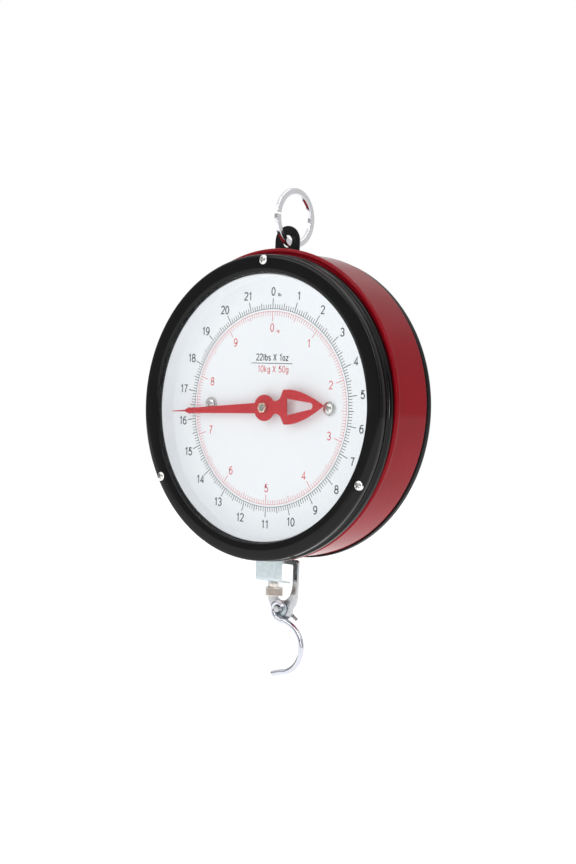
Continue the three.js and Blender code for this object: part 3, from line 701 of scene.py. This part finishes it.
def ribbon(path, width, closed=False):
    """A stroke of constant width along a path, as printed quads with mitred joints."""
    path = [Vector(p) for p in path]
    count = len(path)
    left, right = [], []
    for i, here in enumerate(path):
        back = path[i - 1] if closed or i > 0 else here
        ahead = path[(i + 1) % count] if closed or i < count - 1 else here
        ways = [w.normalized() for w in (here - back, ahead - here) if w.length > 1e-9]
        way = sum(ways, Vector((0, 0)))
        if way.length < 1e-6:
            way = ways[0]
        way.normalize()
        normal = Vector((-way.y, way.x))
        reach = width / 2 / max(0.5, abs(normal.dot(Vector((-ways[0].y, ways[0].x)))))
        left.append(tuple(here + normal * reach))
        right.append(tuple(here - normal * reach))
    if not closed:
        return ink([*left, *reversed(right)])
    layers = [(x, y, z) for y in (INK_FRONT, INK_BACK) for x, z in [*left, *right]]
    faces = []
    low = 2 * count
    for k in range(count):
        n = (k + 1) % count
        a, b, c, d = k, n, count + n, count + k
        faces += [[a, b, c, d], [low + a, low + b, low + c, low + d]]
        faces += [[a, b, low + b, low + a], [d, c, low + c, low + d]]
    return layers, faces


def oval(x, z, width, height, start, end, count):
    points = arc(0, 0, 1, start, end, count)
    return [(x + width / 2 * a, z + height / 2 * b) for a, b in points]


# Narrow upright glyphs, one unit high: width, open strokes, and closed ovals (x, z, width, height).
GLYPHS = {
    "0": (0.5, [], [(0.25, 0.5, 0.42, 1)]),
    "1": (0.42, [[(0.08, 0.78), (0.27, 0.98), (0.27, 0)]], []),
    "2": (0.5, [[*oval(0.25, 0.73, 0.42, 0.54, 165, -30, 14), (0.05, 0.02), (0.47, 0.02)]], []),
    "3": (0.5, [oval(0.24, 0.75, 0.38, 0.5, 160, -90, 16), oval(0.24, 0.26, 0.42, 0.5, 90, -160, 16)], []),
    "4": (0.52, [[(0.36, 0), (0.36, 1), (0.03, 0.26), (0.5, 0.26)]], []),
    "5": (0.5, [[(0.43, 0.98), (0.12, 0.98), (0.07, 0.52), *oval(0.24, 0.32, 0.44, 0.62, 130, -160, 18)]],
          []),
    "6": (0.5, [oval(0.31, 0.45, 0.54, 1.06, 65, 190, 12)], [(0.25, 0.32, 0.42, 0.62)]),
    "7": (0.48, [[(0.04, 0.98), (0.44, 0.98), (0.26, 0.5), (0.18, 0)]], []),
    "8": (0.5, [], [(0.25, 0.76, 0.36, 0.48), (0.25, 0.27, 0.44, 0.52)]),
    "9": (0.5, [oval(0.19, 0.55, 0.54, 1.06, -115, 10, 12)], [(0.25, 0.68, 0.42, 0.62)]),
    "l": (0.2, [[(0.1, 1), (0.1, 0)]], []),
    "b": (0.46, [[(0.06, 1), (0.06, 0)]], [(0.24, 0.34, 0.36, 0.66)]),
    "s": (0.42, [[*oval(0.2, 0.5, 0.28, 0.32, 30, 270, 12), *oval(0.2, 0.17, 0.32, 0.32, 90, -150, 12)]],
          []),
    "X": (0.6, [[(0.05, 1), (0.5, 0)], [(0.5, 1), (0.05, 0)]], []),
    "o": (0.46, [], [(0.23, 0.34, 0.36, 0.66)]),
    "z": (0.42, [[(0.05, 0.66), (0.36, 0.66), (0.05, 0.02), (0.38, 0.02)]], []),
    "k": (0.42, [[(0.06, 1), (0.06, 0)], [(0.36, 0.68), (0.07, 0.3)], [(0.16, 0.4), (0.38, 0)]], []),
    "g": (0.46, [[(0.4, 0.68), (0.4, 0), *oval(0.22, -0.02, 0.36, 0.5, -5, -150, 10)]],
          [(0.22, 0.34, 0.34, 0.66)]),
    " ": (0.22, [], []),
}
GLYPH_GAP = 0.1


def lettering(text, x, z, height, stroke, stretch=1.0):
    """Text centred on (x, z)."""
    total = sum(GLYPHS[letter][0] for letter in text) + GLYPH_GAP * (len(text) - 1)
    left = x - total * height * stretch / 2
    shapes = []
    for letter in text:
        width, strokes, rings = GLYPHS[letter]
        paths = [(path, False) for path in strokes]
        paths += [(oval(*ring, 0, 345, 23), True) for ring in rings]
        for path, closed in paths:
            spot = [(left + a * height * stretch, z + (b - 0.5) * height) for a, b in path]
            shapes.append(ribbon(spot, stroke, closed))
        left += (width + GLYPH_GAP) * height * stretch
    return joined(*shapes)


def scale_print(ring_r, ring_width, units, parts, marks, numbers_r, stroke, stretch):
    """A graduation circle with its marks, longer at each half and whole unit, and its numbers."""
    shapes = [ring_print(ring_r, ring_width)]
    part, half, whole = marks
    for mark in range(units * parts):
        reach, width = part
        if mark % (parts // 2) == 0:
            reach, width = half
        if mark % parts == 0:
            reach, width = whole
        shapes.append(tick(mark * 360 / (units * parts), min(ring_r, reach), max(ring_r, reach), width))
    for number in range(units):
        x, z = clock(numbers_r, number * 360 / units)
        shapes.append(lettering(str(number), x, z, NUMBER_HEIGHT, stroke, stretch))
    return shapes


pound_print = [
    *scale_print(POUND_R, 0.3, POUNDS, POUND_PARTS, POUND_MARKS, POUND_NUMBERS_R, 0.76, 1.24),
    lettering("lbs", 5.4, 74.7, 2.2, 0.34),
    lettering("22lbs X 1oz", 1, 33.4, CAPTION_HEIGHT, 0.66, 1.2),
    ink(bar(-16.6, 18, 29.2, 29.65)),
]
kilo_print = [
    *scale_print(KILO_R, 0.22, KILOS, KILO_PARTS, KILO_MARKS, KILO_NUMBERS_R, 0.64, 1.2),
    lettering("kg", 5.1, 50.9, 2.1, 0.3),
    lettering("10kg X 50g", 2, 25.7, CAPTION_HEIGHT, 0.48, 1.2),
]
piece("dial_print_pounds", joined(*pound_print), PRINT_BLACK, "case")
piece("dial_print_kilograms", joined(*kilo_print), PRINT_RED, "case")


# ---- pointer
def pointer():
    """Needle, round hub and an arrow-shaped tail with a window, drawn pointing up."""
    needle = [(3.45, 7.6), (1.75, 64.2), (2.2, 65.8), (0.55, 70), (0.3, 81)]
    hub_right = arc(0, 0, 8.65, 64, -58, 28)
    tail_right = [(11.3, -16.3), *bend((11.3, -16.3), (12.6, -29.4), (0.3, -48.9), 24)]
    flare = [*bend(hub_right[-1], (3.9, -9.4), (4.5, -11.2), 8),
             *bend((4.5, -11.2), (5.3, -13.3), (6.4, -13.9), 8)]
    right = [*reversed(needle), *hub_right, *flare, *tail_right]
    window_end = arc(0, -38.2, 2.2, 25, -205, 16)[2:-2]
    window = [(5.4, -19.1), (2.3, -37.2), *window_end, (-2.3, -37.2), (-5.4, -19.1)]
    plate = stamped([*right, *mirrored(right)], [window, circle(0, 0, 1.8)], 0.9, 0.12, 2)
    turn = Matrix.Rotation(math.radians(POINTER_TURN), 4, "Y")
    return shifted(moved(plate, turn), y=-5.6)


piece("pointer_hand", pointer(), POINTER_RED, "pointer", ["pointer"])


hexagon = shifted(stamped(arc(0, 0, 3.5, 4, 304, 5), [], 2.3, 0.25, 2), y=-8.25)
nut = piece("pointer_nut_hexagon", hexagon, PALE_BRASS, "pointer", ["pointer_nut"])
cut(nut, lathe([(0, -10), (2.1, -10), (2.1, -8.2), (1.75, -7.85), (1.75, -4), (0, -4)], 32))


def thread(radius, pitch, z0, z1, depth, x, y, sides):
    """A vertical screw thread as a closed rod whose radius follows a helix."""
    rows = round((z1 - z0) / pitch * 8)
    points = []
    for row in range(rows + 1):
        z = z0 + (z1 - z0) * row / rows
        for k in range(sides):
            phase = ((z - z0) / pitch - k / sides) % 1
            fade = min(1.0, (z - z0) / pitch, (z1 - z) / pitch)
            r = radius - depth * (1 - abs(2 * phase - 1)) * max(0.0, fade)
            angle = 2 * math.pi * k / sides
            points.append((x + r * math.cos(angle), y + r * math.sin(angle), z))
    return points, skin(rows + 1, sides)


def spindle():
    """The spindle, threaded where the nut holds the pointer."""
    tip = shifted(moved(thread(1.5, 0.5, 0, 4.4, 0.22, 0, 0, 24), QUARTER_TURN), y=-4.6)
    shank = lathe(rounded([(0, -4.7), (1.49, -4.7), (1.5, 15.9), (0, 15.9)], 0.2), 32)
    return joined(tip, shank)


piece("spindle_rod", spindle(), SPRING, "pointer", ["spindle"])
collar = rounded(bar(1.8, 3.6, -4.4, -0.6), 0.2)
piece("pointer_collar_turned", lathe(collar, ROUND), BRASS, "pointer", ["pointer_collar"])


# ---- rear cover
def rear_cover():
    """A dished cover with sunk seats for the post screws, on bosses, and for the rim screws."""
    outside = [(0, BACK), (40, BACK), (82, BACK), (85.5, 51), (98, 43), (100.6, 41), (101.2, 39.6),
               (101.2, 36.6), (100.8, 35.9)]
    inside = [(91, 35.9), (91, 43), (83, 49.4), (80, 50), (40, 50), (0, 50)]
    dish = lathe(rounded([*outside, *inside], 1.2), z=COVER_RISE)
    obj = piece("rear_cover_moulding", dish, REAR_PLASTIC, "case", ["rear_cover"])
    for z in POST_Z.values():
        cut(obj, lathe(bar(0, 6.5, 46.2, 51), ROUND, 0, z), "UNION")
        sunk = [(0, 40), (SCREW_HOLE_R, 40), (SCREW_HOLE_R, 49.5), (4.2, 49.5), (4.2, 60), (0, 60)]
        cut(obj, lathe(sunk, ROUND, 0, z))
    seat = [(0, 30), (SCREW_HOLE_R, 30), (SCREW_HOLE_R, 40.1), (3.7, 40.1), (3.7, 60), (0, 60)]
    for number in (1, 2, 3):
        bore(obj, f"rear_screw_{number}", seat, ROUND)


rear_cover()


# ---- load parts below the case
def folded(profile, x0, x1):
    """A folded sheet: its section in Y and Z, from x0 to x1, with eased edges."""
    slab = stamped(profile, [], x1 - x0, 0.15, 2)
    return moved(slab, Matrix(((0, -1, 0, x1), (1, 0, 0, 0), (0, 0, 1, 0), (0, 0, 0, 1))))


def load_bracket():
    """A bent strip: a flat leg inside the case and a sloping ledge that carries the thumb screw."""
    y, t, bottom, reach, droop = 6, 1.2, -114.6, 10, 1.3
    fold = 2.2
    outer_fold = bend((y, bottom + fold), (y, bottom), (y + fold, bottom - 0.2), 8)
    inner_fold = bend((y + fold, bottom + t), (y + t, bottom + t), (y + t, bottom + fold), 8)
    profile = [(y, -46), (y, bottom + fold), *outer_fold, (y + reach, bottom - droop),
               (y + reach, bottom - droop + t), (y + fold, bottom + t), *inner_fold, (y + t, -46)]
    sheet = folded(profile, -11.3, 10.4)
    obj = piece("load_bracket_sheet", sheet, ZINC, "load", ["load_bracket"])
    cut(obj, upright(bar(0, 2.3, -120, -110), 32, 0, 12.4))
    for rivet in ("left", "right"):
        bore(obj, f"load_rivet_{rivet}", bar(0, 1.8, 0, 10))


load_bracket()


def knurled_head(radius, z0, z1, x, y):
    """A diamond-knurled thumb screw head with plain chamfered rims."""
    around, turns, pitch, depth = 336, 21, 1.7, 0.6
    rows, chamfer, run_out = 44, 0.45, 0.25
    points = []

    def wave(value):
        return abs(2 * (value % 1) - 1)

    for row in range(rows + 1):
        z = z0 + (z1 - z0) * row / rows
        edge = min(z - z0, z1 - z)
        for k in range(around):
            share = k / around
            climb = (z - z0) / pitch
            groove = min(wave(turns * share + climb), wave(turns * share - climb))
            fade = min(1.0, max(0.0, (edge - chamfer) / run_out))
            r = radius - depth * (1 - groove) * fade - max(0.0, chamfer - edge) * 0.9
            angle = 2 * math.pi * share
            points.append((x + r * math.cos(angle), y + r * math.sin(angle), z))
    return points, skin(rows + 1, around)


def zero_screw():
    """Knurled head, plain neck and threaded shank, with a dark core as painted shade in the knurl's groove
    bottoms.
    """
    x, y, _ = middle("zero_screw")
    head = knurled_head(6, -124.6, -118.9, x, y)
    # A dark core just inside the knurling: painted shade that shows in the groove bottoms.
    painted_groove_shade = upright(bar(0, 5.6, -124, -119.5), ROUND, x, y)
    piece("zero_screw_painted_groove_shade", painted_groove_shade, KNURL_SHADE, "zero_screw")
    neck = upright(rounded(bar(0, 3.2, -119, -116.3), 0.25), ROUND, x, y)
    shank = thread(2, 0.7, -116.4, -82, 0.32, x, y, 32)
    return joined(head, neck, shank)


piece("zero_screw_thumb", zero_screw(), KNURLED, "zero_screw", ["zero_screw"], 40)
clip_x, clip_y, _ = middle("zero_screw_clip")
clip = upright(rounded(bar(2.3, 3.6, -113.3, -112.6), 0.12), 40, clip_x, clip_y)
piece("zero_screw_clip_ring", clip, NICKEL, "zero_screw", ["zero_screw_clip"])


def helix(radius, x, y, start_z, end_z, start, turn, count):
    """Points of an upright helix; start and turn are in degrees, from +X towards +Y."""
    ring = arc(x, y, radius, start, start + turn, count)
    return [(a, b, start_z + (end_z - start_z) * k / count) for k, (a, b) in enumerate(ring)]


zero_spring = wire(helix(4.6, clip_x, clip_y, -111.9, -92.7, 0, 360 * 12, 24 * 12), 0.42, 10)
piece("zero_spring_coil", zero_spring, SPRING, "load", ["zero_spring"])


def yoke():
    """A flat loop on a stem, narrowing to a rounded lobe that holds the pin."""
    half, top, lobe, arm_width, stem, shoulder = 12.6, -100.5, 8.8, 4.3, 4, 2.2
    right = [
        (7, -50.6), (7, -56), (stem, -56),
        (stem, top + 1), *bend((stem, top + 1), (stem, top), (stem + 1, top), 6),
        (half - shoulder, top), *bend((half - shoulder, top), (half, top), (half, top - shoulder), 8),
        (half, -124.5), *bend((half, -124.5), (half, -130), (lobe + 0.2, PIN_Z + 0.5), 14),
        *arc(0, PIN_Z, lobe, -5, -90, 20),
    ]
    inner, roof = half - arm_width, top - 3.4
    opening = [
        (inner - 1.2, roof), *bend((inner - 1.2, roof), (inner, roof), (inner, top - 4.6), 6),
        (inner, -118), *bend((inner, -118), (inner - 0.6, -124.6), (3.2, -127.6), 12),
        *bend((3.2, -127.6), (1.6, -128.4), (0, -128.4), 6),
    ]
    outline, window = [[*half_loop, *mirrored(half_loop)[1:]] for half_loop in (right, opening)]
    return shifted(stamped(outline, [window, circle(0, PIN_Z, 2.4)], 1.9, 0.3, 3), y=21.05)


piece("yoke_stamping", yoke(), STEEL, "load", ["yoke"])
pin = lathe(rounded(bar(0, 2.1, 15, 27.4), 0.45, 5), 48, 0, PIN_Z)
hook_pin = piece("hook_pin_turned", pin, STEEL, "load", ["hook_pin"])
pin_washer = lathe(rounded(bar(2.35, 4.9, 19.75, 20.8), 0.2), ROUND, 0, PIN_Z)
piece("pin_washer_ring", pin_washer, ZINC, "load", ["pin_washer"])


COTTER_Y, COTTER_SLOPE = 25, math.radians(35)
COTTER_HOLE_R = 1.42


def cotter_line(distance, offset=0.0):
    """A point on the split pin's line, distance to the lower right and offset above it."""
    run, fall = math.cos(COTTER_SLOPE), math.sin(COTTER_SLOPE)
    return distance * run + offset * fall, COTTER_Y, PIN_Z - distance * fall + offset * run


def cotter_pin():
    """A split pin: an eye at one end and two half-round legs that lie together."""
    eye = [cotter_line(*point) for point in arc(-9.6 - 1.55, 0, 1.55, 20, 340, 32)]
    legs = []
    for sign, reach in ((1, 12.9), (-1, 12.4)):
        half_round = [(sign * (0.04 + 1.2 * math.sin(math.radians(a))), 1.24 * math.cos(math.radians(a)))
                      for a in range(0, 181, 15)]
        legs.append(tube([cotter_line(-10.2 + (reach + 10.2) * k / 12) for k in range(13)], half_round))
    return joined(wire(eye, 0.6, 12), *legs)


cut(hook_pin, tube([cotter_line(-6), cotter_line(6)], circle(0, 0, COTTER_HOLE_R, SMALL)))
piece("cotter_pin_wire", cotter_pin(), STEEL, "load", ["cotter_pin"])


def hook():
    """Round wire with an eye about the pin and a wide open bowl."""
    y = 17.6
    eye = arc(0, PIN_Z, 4.3, 20, 195, 7)
    bowl = arc(3.5, -158.6, 17, 62, -88, 10)
    path = [*eye, (-2.9, -138.3), (1.2, -140.8), (6.4, -141.6), *bowl, (-4.2, -177.9)]
    return wire(smooth_path([(x, y, z) for x, z in path], 8), 1.95, 32)


piece("hook_wire", hook(), HOOK_CHROME, "hook", ["hook"])


# ---- parts inside the case
def spring(name, x):
    """A close coil with a hook turned in at each end."""
    y = PLATE_Y + PLATE_T / 2
    coil_r, wire_r, turns, steps = 4.8, 0.6, 52, 16
    coil_top, coil_bottom, hook_r = 56, -40, 3

    def loop(z, sign):
        return [(x, b, c) for b, c in arc(y, z, hook_r, 0, sign * 225, 15)]

    coil = helix(coil_r, x, y, coil_top, coil_bottom, 90, -360 * turns, turns * steps)
    path = [*reversed(loop(SPRING_TOP - 2.2, 1)), *coil, *loop(SPRING_BOTTOM + 2.2, -1)]
    obj = add_object(name, to_mesh(name, wire(path, wire_r, 8)))
    obj.data.materials.append(SPRING)
    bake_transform(obj)
    return obj


for side, x in (("left", -SPRING_X), ("right", SPRING_X)):
    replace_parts(spring(f"spring_{side}_coil", x), f"spring_{side}")


def turned_part(node, profile, body="case", look=NICKEL, easing=0.15):
    """A small turned part at its node's place; the profile's Y is measured from the dial's face."""
    centre = middle(node)
    shape = lathe(rounded(profile, easing, 3), 40, centre.x, centre.z)
    piece(f"{node}_turned", shape, look, body, [node])


PILLAR = [(0, 1.3), (1.5, 1.3), (1.5, 3.1), (2.6, 3.1), (2.6, 11.7), (1.25, 11.7), (1.25, 9), (0, 9)]
BRIDGE_SCREW = [(0, 9.4), (0.95, 9.4), (0.95, 13.9), (2.4, 13.9), (2.4, 14.8), (1.8, 15.3), (0, 15.4)]
POST = [(0, 11.4), (1.7, 11.4), (1.7, 13.9), (4, 13.9), (4, 45.9), (1.8, 45.9), (1.8, 38), (0, 38)]
RIVET = [(0, 4.7), (2, 4.8), (2.8, 5.7), (1.5, 5.7), (1.5, 7.5), (2.5, 7.5), (2.5, 11.7), (1.5, 11.7),
         (1.5, 13.9), (2.8, 13.9), (2, 14.8), (0, 14.9)]
FRONT_BUSH = [(1.64, 1.1), (3.7, 1.1), (3.7, 3.1), (5, 3.1), (5, 4.4), (1.64, 4.4)]
REAR_BUSH = [(1.64, 10.9), (3.7, 10.9), (3.7, 13.9), (5, 13.9), (5, 14.8), (1.64, 14.8)]

for number in range(1, 5):
    turned_part(f"movement_pillar_{number}", PILLAR)
    turned_part(f"movement_screw_{number}", BRIDGE_SCREW)
for where in POST_Z:
    turned_part(f"case_post_{where}", POST, easing=0.3)
for where in ("left", "right"):
    turned_part(f"load_rivet_{where}", RIVET, "load")
turned_part("front_bush", FRONT_BUSH, "case", BRASS)
turned_part("rear_bush", REAR_BUSH, "case", BRASS)

# Nodes that keep their CAD shape and take only a look.
KEPT_NODES = {
    "movement_bridge": ZINC, "rack_guide": NYLON, "pinion": BRASS, "rack": BRASS, "load_beam": ZINC,
    "bezel_clip_1": ZINC, "bezel_clip_2": ZINC, "bezel_clip_3": ZINC,
}
for node, look in KEPT_NODES.items():
    for material_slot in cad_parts[node].material_slots:
        material_slot.material = look


# ---- floor and light
FLOOR_DROP = 0.5  # metres below the hook
FLOOR_REACH = 12  # metres each way from the dial's centre line
# Walls of the studio that light the object: direction, level, and where the level starts and is full.
LIT_WALLS = [((-0.45, -1, 0.1), 0.89, -0.1, 0.5), ((0, 0, 1), 0.8, 0.25, 0.6), ((0, 0, -1), 0.48, 0.2, 0.5)]
LIT_REST = 0.07  # the level between the walls
# Walls that show in glossy surfaces.
SEEN_WALLS = [
    ((-0.62, -0.78, 0), 0.4, 0.2, 0.9), ((0.3, 1, 0), 0.7, 0.1, 0.6),
    ((0, 0, 1), 0.95, 0.22, 0.58), ((0, 0, -1), 0.9, 0.3, 0.6),
]
SEEN_REST = 0.12
# A narrow bright strip in a plane square to its normal, full within its core and gone past its edge;
# it shows only on the side it faces.
STRIP_NORMAL, STRIP_FACING = (0.6, 0.74, 0.3), (0.2, -1, 0.3)
STRIP_LEVEL, STRIP_CORE, STRIP_EDGE = 12, 0.012, 0.05
# Two soft boxes: places in metres from the dial's centre, watts, and width and height in metres.
LAMPS = {"key": (-0.9, -1.7, 1.1), "top": (0.6, 0.4, 1.6)}
LAMP_POWER, LAMP_WIDTH, LAMP_HEIGHT = 4, 1.0, 0.8


def add_floor():
    mesh = bpy.data.meshes.new("floor")
    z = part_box("hook")[0].z - FLOOR_DROP
    corners = ((-1, -1), (1, -1), (1, 1), (-1, 1))
    mesh.from_pydata([(FLOOR_REACH * x, FLOOR_REACH * y, z) for x, y in corners], [], [[0, 1, 2, 3]])
    floor = add_object("floor", mesh)
    m = Nodes("floor_paper", Specular_IOR_Level=0.1, Roughness=0.9, Emission_Strength=0.5,
              Emission_Color=(1, 1, 1, 1))
    m.colour(m.blend(m.noise(3), (0.93, 0.93, 0.93), (0.96, 0.96, 0.96)))
    mesh.materials.append(m.material)


def add_world():
    """Walls that light the object and show in its glossy parts; behind it the view is plain white."""
    world = bpy.data.worlds.new("studio")
    SCENE.world = world
    world.use_nodes = True
    tree = world.node_tree
    tree.nodes.clear()
    ray_way = tree.nodes.new("ShaderNodeTexCoord").outputs["Generated"]

    def arithmetic(operation, *values):
        node = tree.nodes.new("ShaderNodeMath")
        node.operation = operation
        for value, socket in zip(values, node.inputs):
            if isinstance(value, float):
                socket.default_value = value
            else:
                tree.links.new(value, socket)
        return node.outputs["Value"]

    def turned_to(direction):
        """How far the ray turns towards a direction, from -1 to 1."""
        dot = tree.nodes.new("ShaderNodeVectorMath")
        dot.operation = "DOT_PRODUCT"
        dot.inputs[1].default_value = Vector(direction).normalized()
        tree.links.new(ray_way, dot.inputs[0])
        return dot.outputs["Value"]

    def rising(value, low, high, start, end):
        ramp = tree.nodes.new("ShaderNodeMapRange")
        ramp.interpolation_type = "SMOOTHSTEP"
        fill(ramp, Value=value, From_Min=start, From_Max=end, To_Min=low, To_Max=high)
        return ramp.outputs["Result"]

    def brightest(walls, rest):
        level = rest
        for direction, wall_level, start, end in walls:
            level = arithmetic("MAXIMUM", level, rising(turned_to(direction), 0, wall_level, start, end))
        return level

    def background(level):
        return fill(tree.nodes.new("ShaderNodeBackground"), Color=level).outputs[0]

    def either(choice, first, second):
        mix = tree.nodes.new("ShaderNodeMixShader")
        tree.links.new(choice, mix.inputs["Fac"])
        tree.links.new(first, mix.inputs[1])
        tree.links.new(second, mix.inputs[2])
        return mix.outputs[0]

    off_strip = arithmetic("ABSOLUTE", turned_to(STRIP_NORMAL))
    strip = arithmetic("MULTIPLY", rising(off_strip, STRIP_LEVEL, 0, STRIP_CORE, STRIP_EDGE),
                       rising(turned_to(STRIP_FACING), 0, 1, 0.3, 0.6))
    seen = arithmetic("ADD", brightest(SEEN_WALLS, SEEN_REST), strip)
    lit = brightest(LIT_WALLS, LIT_REST)
    ray = tree.nodes.new("ShaderNodeLightPath")
    studio = either(ray.outputs["Is Glossy Ray"], background(lit), background(seen))
    view = either(ray.outputs["Is Camera Ray"], studio, background((1, 1, 1, 1)))
    fill(tree.nodes.new("ShaderNodeOutputWorld"), Surface=view)


def add_lamp(name, position):
    """A soft box aimed at the dial's centre."""
    data = bpy.data.lights.new(name, "AREA")
    data.shape = "RECTANGLE"
    data.size = LAMP_WIDTH
    data.size_y = LAMP_HEIGHT
    data.energy = LAMP_POWER
    lamp = add_object(name, data)
    lamp.location = ORIGIN + Vector(position)
    lamp.rotation_euler = (ORIGIN - lamp.location).to_track_quat("-Z", "Y").to_euler()
    lamp.visible_camera = False


add_floor()
add_world()
for name, position in LAMPS.items():
    add_lamp(name, position)

SCENE.view_settings.view_transform = "Standard"
